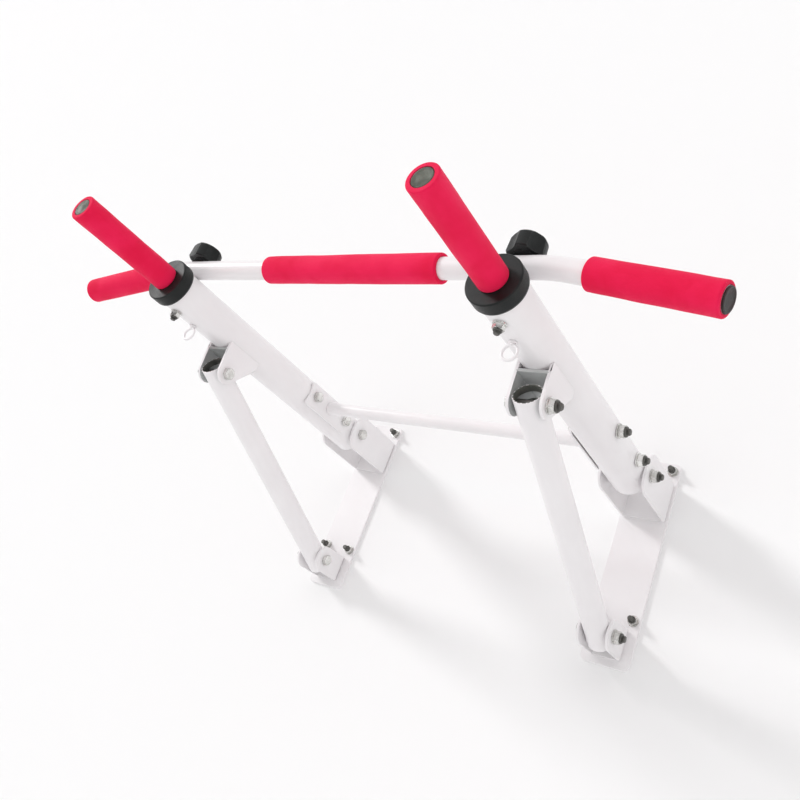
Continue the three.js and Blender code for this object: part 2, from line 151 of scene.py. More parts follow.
def cut(piece, tool, operation="DIFFERENCE"):
    """Cuts a piece with a tool, or keeps what lies inside it, and throws the tool away."""
    modify(piece, "BOOLEAN", object=tool, operation=operation, solver="EXACT")
    bpy.data.objects.remove(tool)


def drill(piece, at, axis, radius, depth):
    """Drills a round hole from a point along an axis."""
    cut(piece, turned("drill", at, axis, [(radius, 0), (radius, depth)], sides=24, closed=False))


def other_side(piece):
    """A mirrored copy for the left arm, with a mesh of its own."""
    only(piece)
    bpy.ops.object.duplicate()
    copy = bpy.context.object
    copy.name = copy.data.name = piece.name.replace("right", "left")
    with editing(copy):
        bpy.ops.transform.resize(value=(-1, 1, 1), center_override=(0, 0, 0))
        bpy.ops.mesh.flip_normals()
    return copy


def fit(piece, body, material, slot, *nodes):
    """Shades a finished piece, gives it its material unless it has some, ties it to body and hides the
    nodes.
    """
    only(piece)
    bpy.ops.object.shade_smooth_by_angle(angle=SMOOTH)
    modify(piece, "WEIGHTED_NORMAL", keep_sharp=True)
    if not piece.data.materials:
        piece.data.materials.append(material)
    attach(piece, body)
    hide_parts(*nodes)


def fit_both(piece, body, material, slot, *nodes):
    """Fits a right-hand piece and its mirrored copy, each on its side's body and for its side's nodes."""
    for fitted, side in ((other_side(piece), "left"), (piece, "right")):
        fit(fitted, body.format(side), material, slot, *(f"{node}_{side}" for node in nodes))


def new_group(name, inputs, outputs):
    """An empty node group for an effect, with its input values and its output kinds."""
    group = bpy.data.node_groups.new(name, "ShaderNodeTree")
    for label, value in inputs.items():
        socket = group.interface.new_socket(label, in_out="INPUT", socket_type="NodeSocketFloat")
        socket.default_value = value
    for label in outputs:
        group.interface.new_socket(label, in_out="OUTPUT", socket_type="NodeSocketFloat")
    start = group.nodes.new("NodeGroupInput")
    end = group.nodes.new("NodeGroupOutput")
    return group, start, end


def node(tree, kind, links=(), **settings):
    """A new node with these settings and values, fed by (input, source socket) links."""
    made = tree.nodes.new(kind)
    for setting, value in settings.items():
        if hasattr(made, setting):
            setattr(made, setting, value)
        else:
            made.inputs[setting.replace("_", " ").title()].default_value = value
    for socket, source in links:
        tree.links.new(made.inputs[socket], source)
    return made


def spread(tree, value, low, high, to_low=0.0, to_high=1.0):
    """The value stretched from one range to another, held at its ends."""
    return node(tree, "ShaderNodeMapRange", [("Value", value)], from_min=low, from_max=high,
                to_min=to_low, to_max=to_high).outputs["Result"]


def mixed(tree, share, first, second):
    """Two colours mixed by a share that changes over the surface; each is a socket or a plain colour."""
    made = node(tree, "ShaderNodeMix", data_type="RGBA")
    tree.links.new(made.inputs["Factor"], share)
    for socket, colour in ((made.inputs[6], first), (made.inputs[7], second)):
        if isinstance(colour, bpy.types.NodeSocket):
            tree.links.new(socket, colour)
        else:
            socket.default_value = (*colour, 1)
    return made.outputs[2]


# Grain: the fine relief of a surface, broad swells with small bumps on them.
grain, start, end = new_group("grain", {"Broad": 300.0, "Fine": 1500.0}, ["Height"])
place = node(grain, "ShaderNodeTexCoord").outputs["Object"]
broad = node(grain, "ShaderNodeTexNoise", [("Vector", place), ("Scale", start.outputs["Broad"])],
             Detail=2.0)
fine = node(grain, "ShaderNodeTexNoise", [("Vector", place), ("Scale", start.outputs["Fine"])],
            Detail=3.0)
height = node(grain, "ShaderNodeMath", [(0, broad.outputs["Fac"]), (1, fine.outputs["Fac"])])
grain.links.new(end.inputs["Height"], spread(grain, height.outputs[0], 0.6, 1.4))

# Handling: soft patches where hands, dust and packing have dulled or shaded a surface.
SCUFF_SCALE = 14  # how much finer the scuffs are than the patches
handling, start, end = new_group("handling", {"Size": 12.0}, ["Patches", "Scuffs"])
place = node(handling, "ShaderNodeTexCoord").outputs["Object"]
patches = node(handling, "ShaderNodeTexNoise", [("Vector", place), ("Scale", start.outputs["Size"])],
               Detail=4.0, Distortion=0.4)
tight = node(handling, "ShaderNodeMath", [(0, start.outputs["Size"])], operation="MULTIPLY")
tight.inputs[1].default_value = SCUFF_SCALE
scuffs = node(handling, "ShaderNodeTexNoise", [("Vector", place), ("Scale", tight.outputs[0])],
              Detail=6.0, Roughness=0.7, Distortion=1.2)
handling.links.new(end.inputs["Patches"], spread(handling, patches.outputs["Fac"], 0.35, 0.68))
handling.links.new(end.inputs["Scuffs"], spread(handling, scuffs.outputs["Fac"], 0.6, 0.72))

# Edges of the shape, broken up by noise, for wear, and its inner corners, which carry painted shade.
RIM_WIDTH = 0.0012
edge_wear_and_corner_shade, start, end = new_group("edge_wear_and_corner_shade", {"Breakup": 160.0}, ["Edges", "Corner Shade"])
place = node(edge_wear_and_corner_shade, "ShaderNodeTexCoord").outputs["Object"]
shape = node(edge_wear_and_corner_shade, "ShaderNodeNewGeometry")
rounded = node(edge_wear_and_corner_shade, "ShaderNodeBevel", samples=4, Radius=RIM_WIDTH)
bend = node(edge_wear_and_corner_shade, "ShaderNodeVectorMath",
            [(0, rounded.outputs["Normal"]), (1, shape.outputs["Normal"])], operation="DOT_PRODUCT")
breakup = node(edge_wear_and_corner_shade, "ShaderNodeTexNoise", [("Vector", place), ("Scale", start.outputs["Breakup"])],
               Detail=4.0)
edges = node(edge_wear_and_corner_shade, "ShaderNodeMath", [(0, spread(edge_wear_and_corner_shade, bend.outputs["Value"], 0.99, 0.9)),
                                            (1, spread(edge_wear_and_corner_shade, breakup.outputs["Fac"], 0.35, 0.65))],
             operation="MULTIPLY")
edge_wear_and_corner_shade.links.new(end.inputs["Edges"], edges.outputs[0])
# Concave corners, darkened by the materials as painted shade.
edge_wear_and_corner_shade.links.new(end.inputs["Corner Shade"], spread(edge_wear_and_corner_shade, shape.outputs["Pointiness"], 0.49, 0.42))


def use(tree, group, **values):
    """Places an effect in a material with its own values."""
    made = tree.nodes.new("ShaderNodeGroup")
    made.node_tree = group
    for label, value in values.items():
        made.inputs[label].default_value = value
    return made.outputs


def new_material(name, **uniform):
    """A material with its principled shader and the values that are the same all over it."""
    material = bpy.data.materials.new(name)
    material.use_nodes = True
    shader = material.node_tree.nodes["Principled BSDF"]
    for label, value in uniform.items():
        shader.inputs[label].default_value = value
    return material, material.node_tree, shader


def relief(tree, shader, height, depth, strength):
    """Feeds a height that changes over the surface to the shader's normal."""
    bump = node(tree, "ShaderNodeBump", [("Height", height)], Distance=depth, Strength=strength)
    tree.links.new(shader.inputs["Normal"], bump.outputs["Normal"])


COAT_WHITE = (0.90, 0.88, 0.888)
COAT_SHADE = (0.865, 0.842, 0.852)
COAT_RUBBED = (0.80, 0.785, 0.785)
COAT_CORNER_SHADE = (0.66, 0.63, 0.63)

powder_coat, tree, shader = new_material("powder_coat")
shader.inputs["Coat Weight"].default_value = 0.35
shader.inputs["Coat Roughness"].default_value = 0.16
marks = use(tree, handling, Size=9.0)
rims = use(tree, edge_wear_and_corner_shade, Breakup=220.0)
colour = mixed(tree, marks["Patches"], COAT_WHITE, COAT_SHADE)
# Inner corners of the coat are painted darker as painted shade.
colour = mixed(tree, rims["Corner Shade"], colour, COAT_CORNER_SHADE)
colour = mixed(tree, rims["Edges"], colour, COAT_RUBBED)
tree.links.new(shader.inputs["Base Color"], colour)
tree.links.new(shader.inputs["Roughness"], spread(tree, marks["Patches"], 0, 1, to_low=0.3, to_high=0.4))
relief(tree, shader, use(tree, grain, Broad=330.0, Fine=1400.0)["Height"], depth=0.00003, strength=0.15)

low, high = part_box("wall_plate_right")
ARM_X = (low.x + high.x) / 2
plate = block("right_wall_plate", low, high)
with editing(plate):
    pick("EDGE", lambda edge: runs_along(edge, 1))
    bpy.ops.mesh.bevel(offset=PLATE_CORNER, segments=10, affect="EDGES")
soften(plate, width=0.0007)
for number in (1, 2, 3, 4):
    low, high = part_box(f"wall_bolt_right_{number}")
    hole = Vector(((low.x + high.x) / 2, MARGIN, (low.z + high.z) / 2))
    drill(plate, hole, (0, -1, 0), PLATE_HOLE, 3 * MARGIN)
fit_both(plate, "wall_mount", powder_coat, "white_powder_coat", "wall_plate")

# ---------- hinge brackets on the plates ----------
# A folded channel for each hinge, 4 mm steel welded to the plate by its back, with two ears that hold
# the hinge bolt. The arm's bracket is deep and the brace's is small, and both have rounded ears.
SHEET = 0.004
FOLD = 0.005  # outer radius of a fold in the sheet
HINGE_HOLE = 0.0054
ARM_EAR = 0.025  # radius of the arm bracket's ears
BRACE_EAR = 0.0225  # and of the brace foot bracket's

joint_at = {joint["name"]: Vector(joint["pos_m"]) for joint in frame["joints"]}
pivot = Vector((ARM_X, joint_at["arm_fold"].y, joint_at["arm_fold"].z))
foot = joint_at["brace_fold_right"]


def folded_bracket(name, node_name, ear_round, hinge):
    """A channel open to the front: a box without front, top and bottom, folded, rounded and thickened."""
    low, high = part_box(node_name)
    bracket = block(name, low, high)
    with editing(bracket):
        pick("FACE", lambda face: face.normal.y < -0.5 or abs(face.normal.z) > 0.5)
        bpy.ops.mesh.delete(type="FACE")
        pick("EDGE", lambda edge: runs_along(edge, 2) and edge.verts[0].co.y > high.y - 1e-5)
        bpy.ops.mesh.bevel(offset=FOLD, segments=6, affect="EDGES")
        pick("VERT", lambda vert: vert.co.y < low.y + 1e-5)
        bpy.ops.mesh.bevel(offset=ear_round, segments=14, affect="VERTICES")
    modify(bracket, "SOLIDIFY", thickness=SHEET, offset=-1, use_even_offset=True)
    soften(bracket, width=0.0006, segments=2)
    start = (low.x - MARGIN, hinge.y, hinge.z)
    drill(bracket, start, (1, 0, 0), HINGE_HOLE, high.x - low.x + 2 * MARGIN)
    return bracket


fit_both(folded_bracket("right_arm_bracket", "arm_bracket_right", ARM_EAR, pivot),
         "wall_mount", powder_coat, "white_powder_coat", "arm_bracket")
fit_both(folded_bracket("right_brace_foot_bracket", "brace_foot_bracket_right", BRACE_EAR, foot),
         "wall_mount", powder_coat, "white_powder_coat", "brace_foot_bracket")

# ---------- arms ----------
# Each arm is a straight round steel tube, sawn square, deburred and powder coated, with drilled holes
# for its bolts. A folded saddle for the brace is welded under it.
ARM_WALL = 0.0025
TUBE_SIDES = 96
TUBE_HOLE = 0.0056
REACH = 0.04  # past the outer faces of every bracket, from the middle of an arm
HAIR = 0.0003  # the gap left between pieces that touch
STEEL_BARE = (0.30, 0.305, 0.28)
STEEL_DARK = (0.13, 0.135, 0.12)
COAT_INNER_SHADE = (0.52, 0.535, 0.53)
COAT_INNER_SHADE_DEEP = (0.36, 0.375, 0.37)

# Bare steel for the tubes' bores. Its dark tone is partly painted shade for the inside of the tubes.
bare_shaded_steel, tree, shader = new_material("bare_shaded_steel", Metallic=0.5)
marks = use(tree, handling, Size=30.0)
tree.links.new(shader.inputs["Base Color"], mixed(tree, marks["Patches"], STEEL_BARE, STEEL_DARK))
tree.links.new(shader.inputs["Roughness"], spread(tree, marks["Scuffs"], 0, 1, to_low=0.42, to_high=0.6))
relief(tree, shader, use(tree, grain, Broad=400.0, Fine=1600.0)["Height"], depth=0.0001, strength=0.5)

# A saddle's inner faces below the arm take a darker grey-green: painted shade between its ears.
thin_coat, tree, shader = new_material("thin_coat")
marks = use(tree, handling, Size=25.0)
tree.links.new(shader.inputs["Base Color"], mixed(tree, marks["Patches"], COAT_INNER_SHADE, COAT_INNER_SHADE_DEEP))
tree.links.new(shader.inputs["Roughness"], spread(tree, marks["Scuffs"], 0, 1, to_low=0.45, to_high=0.6))
relief(tree, shader, use(tree, grain, Broad=330.0, Fine=1400.0)["Height"], depth=0.00005, strength=0.3)


def bare_inside(piece, at, axis, radius):
    """Gives the faces of a tube's bore bare steel, kept dark as painted shade, in place of the coat."""
    piece.data.materials.append(powder_coat)
    piece.data.materials.append(bare_shaded_steel)
    at, axis = Vector(at), Vector(axis).normalized()
    for face in piece.data.polygons:
        out = face.center - at
        out -= axis * out.dot(axis)
        face.material_index = int(out.length < radius and face.normal.dot(out) < 0)


def drill_across(piece, at, radius):
    """Drills a hole through a piece from side to side of its arm, centred on a point."""
    drill(piece, at - Vector((REACH, 0, 0)), (1, 0, 0), radius, 2 * REACH)


low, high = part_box("arm_tube_right")
ARM_RADIUS = (high.x - low.x) / 2
arm_front, arm_rear = low.y, high.y
arm_axis = Vector((ARM_X, 0, 0))
arm = turned("right_arm_tube", arm_axis, (0, 1, 0), [
    (ARM_RADIUS, arm_front), (ARM_RADIUS, arm_rear),
    (ARM_RADIUS - ARM_WALL, arm_rear), (ARM_RADIUS - ARM_WALL, arm_front)], sides=TUBE_SIDES)
soften(arm, width=0.0006, segments=2)
drill_across(arm, pivot, TUBE_HOLE)
bare_inside(arm, arm_axis, (0, 1, 0), ARM_RADIUS - 0.5 * ARM_WALL)
fit_both(arm, "arm_frame", powder_coat, "white_powder_coat", "arm_tube")

HEAD_ROUND = 0.017  # radius of the saddle's ears round the brace's bolt
under_arm = -ARM_RADIUS - HAIR
low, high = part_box("brace_head_bracket_right")
bolt_low, bolt_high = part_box("head_bolt_right")
head = Vector((ARM_X, (bolt_low.y + bolt_high.y) / 2, (bolt_low.z + bolt_high.z) / 2))
saddle = block("right_brace_head_bracket", low, (high.x, high.y, under_arm))
with editing(saddle):
    pick("FACE", lambda face: abs(face.normal.y) > 0.5 or face.normal.z < -0.5)
    bpy.ops.mesh.delete(type="FACE")
    pick("VERT", lambda vert: vert.co.z < low.z + 1e-5 and vert.co.y > head.y)
    bpy.ops.transform.translate(value=(0, head.y + 0.5 * HEAD_ROUND - high.y, 0))
    pick("VERT", lambda vert: vert.co.z < low.z + 1e-5 and vert.co.y < head.y)
    bpy.ops.transform.translate(value=(0, head.y - HEAD_ROUND - low.y, 0))
    bpy.ops.mesh.bevel(offset=HEAD_ROUND, segments=12, affect="VERTICES")
    pick("VERT", lambda vert: vert.co.z < low.z + 1e-5 and vert.co.y > head.y + 0.4 * HEAD_ROUND)
    bpy.ops.mesh.bevel(offset=0.49 * HEAD_ROUND, segments=8, affect="VERTICES")
modify(saddle, "SOLIDIFY", thickness=SHEET, offset=-1, use_even_offset=True)
EAR_OVERLAP = 0.002  # how far the ears' upper parts reach down into the folded sheet
EAR_SPARE = 0.004  # and up past their final height, before the cope trims them
for left, right in ((low.x, low.x + SHEET), (high.x - SHEET, high.x)):
    bottom, top = under_arm - EAR_OVERLAP, high.z + EAR_SPARE
    cut(saddle, block("ear_top", (left, low.y, bottom), (right, high.y, top)), "UNION")
cope = turned("cope", (ARM_X, low.y - MARGIN, 0), (0, 1, 0),
              [(-under_arm, 0), (-under_arm, high.y - low.y + 2 * MARGIN)], sides=TUBE_SIDES, closed=False)
cut(saddle, cope)
soften(saddle, width=0.0005, segments=2)
drill_across(saddle, head, HINGE_HOLE)
# The inner faces below the arm get the painted shade coat.
saddle.data.materials.append(powder_coat)
saddle.data.materials.append(thin_coat)
for face in saddle.data.polygons:
    aside = abs(face.center.x - ARM_X)
    face.material_index = int(aside < high.x - ARM_X - 0.9 * SHEET and face.center.z < under_arm - 0.001)
fit_both(saddle, "arm_frame", powder_coat, "white_powder_coat", "brace_head_bracket")

# ---------- braces ----------
# A thinner tube runs from the plate's foot up to the saddle. Its holes at the saddle are slots open
# towards the arm, so that the brace drops off that bolt when the arm folds up.
BRACE_WALL = 0.002
BRACE_TAIL = 0.020  # how far the tube goes on past the foot bolt
BRACE_TIP = 0.015  # and past the bolt in the saddle
SLOT_LENGTH = 0.03

low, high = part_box("brace_tube_right")
BRACE_RADIUS = (high.x - low.x) / 2
brace_axis = (head - foot).normalized()
brace_length = (head - foot).length
brace = turned("right_brace_tube", foot, brace_axis, [
    (BRACE_RADIUS, -BRACE_TAIL), (BRACE_RADIUS, brace_length + BRACE_TIP),
    (BRACE_RADIUS - BRACE_WALL, brace_length + BRACE_TIP), (BRACE_RADIUS - BRACE_WALL, -BRACE_TAIL)],
    sides=72)
soften(brace, width=0.0005, segments=2)
drill_across(brace, foot, TUBE_HOLE)
drill_across(brace, head, TUBE_HOLE)
towards_arm = Vector((1, 0, 0)).cross(brace_axis)
towards_arm *= 1 if towards_arm.z > 0 else -1
slot = block("slot", (-REACH, -TUBE_HOLE, 0), (REACH, TUBE_HOLE, SLOT_LENGTH))
slot.rotation_mode = "QUATERNION"
slot.rotation_quaternion = towards_arm.to_track_quat("Z", "Y")
slot.location = head
cut(brace, slot)
bare_inside(brace, foot, brace_axis, BRACE_RADIUS - 0.5 * BRACE_WALL)
fit_both(brace, "brace_{}", powder_coat, "white_powder_coat", "brace_tube")

# ---------- cross tie ----------
# A slim tube ties the arms together. It is coped and welded to a curved plate on each arm's inner side,
# which two bolts hold to the arm. The plate is rolled wider than the arm, so its long edges stand off.
TIE_WALL = 0.0018
TIE_PLATE_THICK = 0.003
TIE_PLATE_CORNER = 0.007
ROLL_INNER = 0.045  # inner radius of the plate's round
COPE_REACH = 0.03

low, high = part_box("tie_plate_right")
roll_outer = ROLL_INNER + TIE_PLATE_THICK
roll_x = ARM_X + ROLL_INNER - ARM_RADIUS - HAIR
tie_plate = turned("right_tie_plate", (roll_x, 0, 0), (0, 1, 0), [
    (roll_outer, low.y), (roll_outer, high.y), (ROLL_INNER, high.y), (ROLL_INNER, low.y)], sides=180)
window = block("window", (low.x - MARGIN, low.y, low.z), (ARM_X - 0.5 * MARGIN, high.y, high.z))
with editing(window):
    pick("EDGE", lambda edge: runs_along(edge, 0))
    bpy.ops.mesh.bevel(offset=TIE_PLATE_CORNER, segments=8, affect="EDGES")
cut(tie_plate, window, "INTERSECT")
soften(tie_plate, width=0.0005, segments=2)
fit_both(tie_plate, "arm_frame", powder_coat, "white_powder_coat", "tie_plate")

low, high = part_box("cross_tie")
TIE_RADIUS = (high.z - low.z) / 2
tie_centre = (low + high) / 2
tie = turned("cross_tie_tube", tie_centre, (1, 0, 0), [
    (TIE_RADIUS, low.x), (TIE_RADIUS, high.x),
    (TIE_RADIUS - TIE_WALL, high.x), (TIE_RADIUS - TIE_WALL, low.x)], sides=48)
for x in (-roll_x, roll_x):
    cope = turned("cope", (x, tie_centre.y - COPE_REACH, 0), (0, 1, 0),
                  [(roll_outer + HAIR, 0), (roll_outer + HAIR, 2 * COPE_REACH)], sides=180, closed=False)
    cut(tie, cope)
fit(tie, "arm_frame", powder_coat, "white_powder_coat", "cross_tie")

# ---------- pull-up bar ----------
# One steel tube lies across both arms, with its ends bent down a little, and is clamped on them by
# the knobs' studs, which pass through it.
BAR_WALL = 0.0025
BEND_START = 0.295
BEND_RADIUS = 0.220
BAR_DROP = math.radians(11.5)
STUD_HOLE = 0.0043
STUD_REACH = 0.03

low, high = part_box("pull_up_bar")
BAR_RADIUS = (high.y - low.y) / 2
bar_y = (low.y + high.y) / 2
bar_z = high.z - BAR_RADIUS
bend_end_x = BEND_START + BEND_RADIUS * math.sin(BAR_DROP)
outwards = Vector((math.cos(BAR_DROP), 0, -math.sin(BAR_DROP)))
bar_end = Vector((high.x - BAR_RADIUS * math.sin(BAR_DROP), bar_y, 0))
bar_end.z = bar_z - BEND_RADIUS * (1 - math.cos(BAR_DROP)) - (bar_end.x - bend_end_x) * math.tan(BAR_DROP)
bpy.ops.object.select_all(action="DESELECT")
bpy.ops.mesh.primitive_circle_add(vertices=64, radius=BAR_RADIUS, location=(0, bar_y, bar_z),
                                  rotation=(0, math.pi / 2, 0))
bar = settled("bent_bar")
with editing(bar):
    bpy.ops.mesh.extrude_edges_move(TRANSFORM_OT_translate={"value": (BEND_START, 0, 0)})
    bend_centre = (BEND_START, bar_y, bar_z - BEND_RADIUS)
    bpy.ops.mesh.spin(steps=16, angle=-BAR_DROP, center=bend_centre, axis=(0, 1, 0))
    last_run = outwards * ((bar_end.x - bend_end_x) / math.cos(BAR_DROP))
    bpy.ops.mesh.extrude_edges_move(TRANSFORM_OT_translate={"value": last_run})
    bpy.ops.mesh.select_all(action="SELECT")
    bpy.ops.mesh.remove_doubles(threshold=1e-6)
    bpy.ops.mesh.normals_make_consistent(inside=False)
modify(bar, "MIRROR", use_axis=(True, False, False), merge_threshold=1e-5)
with editing(bar):
    bpy.ops.mesh.normals_make_consistent(inside=False)
modify(bar, "SOLIDIFY", thickness=BAR_WALL, offset=-1)
for x in (-ARM_X, ARM_X):
    drill(bar, (x, bar_y, bar_z - STUD_REACH), (0, 0, 1), STUD_HOLE, 2 * STUD_REACH)
fit(bar, "arm_frame", powder_coat, "white_powder_coat", "pull_up_bar")

# ---------- foam grips ----------
# Sleeves of closed-cell foam, dyed rose red right through and cut from a long tube: one round the bar's
# middle, one on each end of it and one on each handle. Pushed on dry, they sit a little uneven.
FOAM_ROUND = 0.0022  # how far the cut rim rounds over
FOAM_STEP = 0.007
FOAM_SLACK = 0.0004  # the gap between a sleeve and its tube
FOAM_LUMPS = 0.0009
END_GRIP = 0.150
FOAM_RED = (0.92, 0.012, 0.09)
FOAM_DEEP = (0.83, 0.008, 0.065)
FOAM_RIM = (0.50, 0.006, 0.035)

foam, tree, shader = new_material("rose_foam")
shader.inputs["Specular IOR Level"].default_value = 0.15
shader.inputs["Sheen Weight"].default_value = 0.12
shader.inputs["Sheen Roughness"].default_value = 0.4
shader.inputs["Sheen Tint"].default_value = (1.0, 0.42, 0.55, 1)
marks = use(tree, handling, Size=22.0)
rims = use(tree, edge_wear_and_corner_shade, Breakup=300.0)
colour = mixed(tree, marks["Patches"], FOAM_RED, FOAM_DEEP)
# The cut rims are painted a darker red.
colour = mixed(tree, rims["Edges"], colour, FOAM_RIM)
tree.links.new(shader.inputs["Base Color"], colour)
tree.links.new(shader.inputs["Roughness"], spread(tree, marks["Patches"], 0, 1, to_low=0.62, to_high=0.8))
relief(tree, shader, use(tree, grain, Broad=700.0, Fine=2600.0)["Height"], depth=0.0004, strength=0.7)

lumps = bpy.data.textures.new("foam_lumps", "CLOUDS")
lumps.noise_scale = 0.035
lumps.noise_depth = 1


def foam_sleeve(name, at, axis, start, end, outer, bore):
    """A foam tube with rounded cut rims, a little uneven along its length."""
    rim = [(outer - FOAM_ROUND * (1 - math.sin(a)), FOAM_ROUND * (1 - math.cos(a)))
           for a in (math.radians(15 * i) for i in range(7))]
    steps = round((end - start - 2 * FOAM_ROUND) / FOAM_STEP)
    length = (end - start - 2 * FOAM_ROUND) / steps
    side = [(outer, start + FOAM_ROUND + length * i) for i in range(1, steps)]
    profile = [(bore, start)] + [(r, start + d) for r, d in rim] + side
    profile += [(r, end - d) for r, d in reversed(rim)] + [(bore, end)]
    sleeve = turned(name, at, axis, profile, sides=72)
    modify(sleeve, "DISPLACE", texture=lumps, texture_coords="LOCAL", strength=FOAM_LUMPS, mid_level=0.5)
    return sleeve


low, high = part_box("centre_grip")
FOAM_RADIUS = (high.y - low.y) / 2
BORE = BAR_RADIUS + FOAM_SLACK
grip = foam_sleeve("foam_centre_grip", (0, bar_y, bar_z), (1, 0, 0), low.x, high.x, FOAM_RADIUS, BORE)
fit(grip, "arm_frame", foam, "red_foam", "centre_grip")

for side, way in (("left", -1), ("right", 1)):
    at = Vector((way * bar_end.x, bar_end.y, bar_end.z))
    axis = Vector((way * outwards.x, 0, outwards.z))
    grip = foam_sleeve(f"foam_end_grip_{side}", at, axis, -END_GRIP, 0, FOAM_RADIUS, BORE)
    fit(grip, "arm_frame", foam, "red_foam", f"end_grip_{side}")

low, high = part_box("handle_grip_right")
tube_low, tube_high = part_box("handle_tube_right")
HANDLE_RADIUS = (tube_high.x - tube_low.x) / 2
for side, way in (("left", -1), ("right", 1)):
    grip = foam_sleeve(f"foam_handle_grip_{side}", (way * ARM_X, 0, 0), (0, 1, 0), low.y, high.y,
                       FOAM_RADIUS, HANDLE_RADIUS + FOAM_SLACK)
    fit(grip, "arm_frame", foam, "red_foam", f"handle_grip_{side}")

# ---------- end plugs ----------
# Push-in plugs with a shallow dish close the tubes' open ends. Those of the handles are of mottled,
# recycled grey-brown plastic, and those of the bar are stained nearly black.
PLUG_GREY = (0.13, 0.135, 0.105)
PLUG_GREEN = (0.05, 0.062, 0.045)
PLUG_BROWN = (0.12, 0.055, 0.045)
PLUG_MAROON = (0.032, 0.010, 0.012)
PLUG_BLACK = (0.012, 0.010, 0.010)
STEM_INSET = 0.0023  # from a handle tube's outside to its plug's stem

plug_plastic, tree, shader = new_material("mottled_plastic")
marks = use(tree, handling, Size=90.0)
flecks = node(tree, "ShaderNodeTexVoronoi",
              [("Vector", node(tree, "ShaderNodeTexCoord").outputs["Object"])], Scale=420.0)
colour = mixed(tree, marks["Patches"], PLUG_GREY, PLUG_GREEN)
colour = mixed(tree, spread(tree, flecks.outputs["Distance"], 0.25, 0.1), colour, PLUG_BROWN)
tree.links.new(shader.inputs["Base Color"], colour)
tree.links.new(shader.inputs["Roughness"], spread(tree, marks["Patches"], 0, 1, to_low=0.45, to_high=0.7))
relief(tree, shader, use(tree, grain, Broad=500.0, Fine=1800.0)["Height"], depth=0.0003, strength=0.6)


def end_plug(name, at, axis, radius, stem):
    """A flanged plug: a stem in the tube and a dished disc over its end. The axis points out of it."""
    profile = [(stem - 0.001, -0.018), (stem, -0.016), (stem, HAIR), (radius, HAIR), (radius, 0.0019),
               (radius - 0.0008, 0.0027), (radius - 0.0026, 0.0027), (radius - 0.0034, 0.0021),
               (0.5 * radius, 0.0018)]
    plug = turned(name, at, axis, profile, sides=56, closed=False)
    soften(plug, width=0.0003, segments=2)
    return plug


for side, way in (("left", -1), ("right", 1)):
    plug = end_plug(f"handle_end_plug_{side}", (way * ARM_X, tube_low.y, 0), (0, -1, 0),
                    HANDLE_RADIUS, HANDLE_RADIUS - STEM_INSET)
    fit(plug, "arm_frame", plug_plastic, "plug_plastic", f"handle_plug_{side}")

stained_plastic, tree, shader = new_material("stained_plastic")
marks = use(tree, handling, Size=70.0)
tree.links.new(shader.inputs["Base Color"], mixed(tree, marks["Patches"], PLUG_BLACK, PLUG_MAROON))
tree.links.new(shader.inputs["Roughness"], spread(tree, marks["Scuffs"], 0, 1, to_low=0.5, to_high=0.7))
relief(tree, shader, use(tree, grain, Broad=500.0, Fine=1800.0)["Height"], depth=0.0003, strength=0.6)

for side, way in (("left", -1), ("right", 1)):
    plug = end_plug(f"bar_end_plug_{side}", (way * bar_end.x, bar_end.y, bar_end.z),
                    (way * outwards.x, 0, outwards.z), BAR_RADIUS, BAR_RADIUS - BAR_WALL - HAIR)
    fit(plug, "arm_frame", stained_plastic, "black_plastic", f"bar_plug_{side}")

# ---------- collars ----------
# A black moulded cap closes each arm's front end: a skirt round the tube and a thick face that the
# handle comes out of.
BLACK_DEEP = (0.008, 0.0095, 0.0095)
BLACK_GREY = (0.016, 0.018, 0.018)
BLACK_RUBBED = (0.05, 0.052, 0.052)

black_plastic, tree, shader = new_material("black_plastic")
shader.inputs["Specular IOR Level"].default_value = 0.22
marks = use(tree, handling, Size=40.0)
rims = use(tree, edge_wear_and_corner_shade, Breakup=400.0)
colour = mixed(tree, marks["Patches"], BLACK_DEEP, BLACK_GREY)
colour = mixed(tree, rims["Edges"], colour, BLACK_RUBBED)
tree.links.new(shader.inputs["Base Color"], colour)
tree.links.new(shader.inputs["Roughness"], spread(tree, marks["Patches"], 0, 1, to_low=0.32, to_high=0.5))
relief(tree, shader, use(tree, grain, Broad=900.0, Fine=2400.0)["Height"], depth=0.0002, strength=0.6)

low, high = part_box("arm_collar_right")
collar_radius = (high.x - low.x) / 2
bore = HANDLE_RADIUS + HAIR
collar = turned("right_arm_collar", arm_axis, (0, 1, 0), [
    (bore, low.y), (collar_radius - 0.0012, low.y), (collar_radius, low.y + 0.0012),
    (collar_radius, high.y - 0.0025), (collar_radius - 0.0008, high.y - 0.0015),
    (collar_radius - 0.0008, high.y), (ARM_RADIUS + HAIR, high.y),
    (ARM_RADIUS + HAIR, arm_front - HAIR), (bore, arm_front - HAIR)], sides=TUBE_SIDES)
soften(collar, width=0.0006, segments=3)
fit_both(collar, "arm_frame", black_plastic, "black_plastic", "arm_collar")

# ---------- bolts, nuts and washers ----------
# Zinc plated steel. Hexagon bolts cross the tubes with their heads on the inner side, and washers and
# nylon-ring lock nuts hold them on the outer side. The thread shows on each bolt's end.
M10 = {"radius": 0.005, "flats": 0.017, "head": 0.0064, "nut": 0.008, "collar": 0.0026,
       "washer": 0.0105, "washer_thick": 0.002, "pitch": 0.0015}
M8 = {"radius": 0.004, "flats": 0.013, "head": 0.0053, "nut": 0.0065, "collar": 0.0022,
      "washer": 0.0085, "washer_thick": 0.0016, "pitch": 0.00125}
ZINC = (0.84, 0.84, 0.82)
ZINC_DULL = (0.55, 0.545, 0.52)
ZINC_CORNER_SHADE = (0.05, 0.048, 0.042)
ZINC_EDGE_REFLECTION = (0.10, 0.10, 0.092)
THREAD_SHADE = (0.11, 0.108, 0.10)
THREAD_WORN = (0.45, 0.45, 0.42)

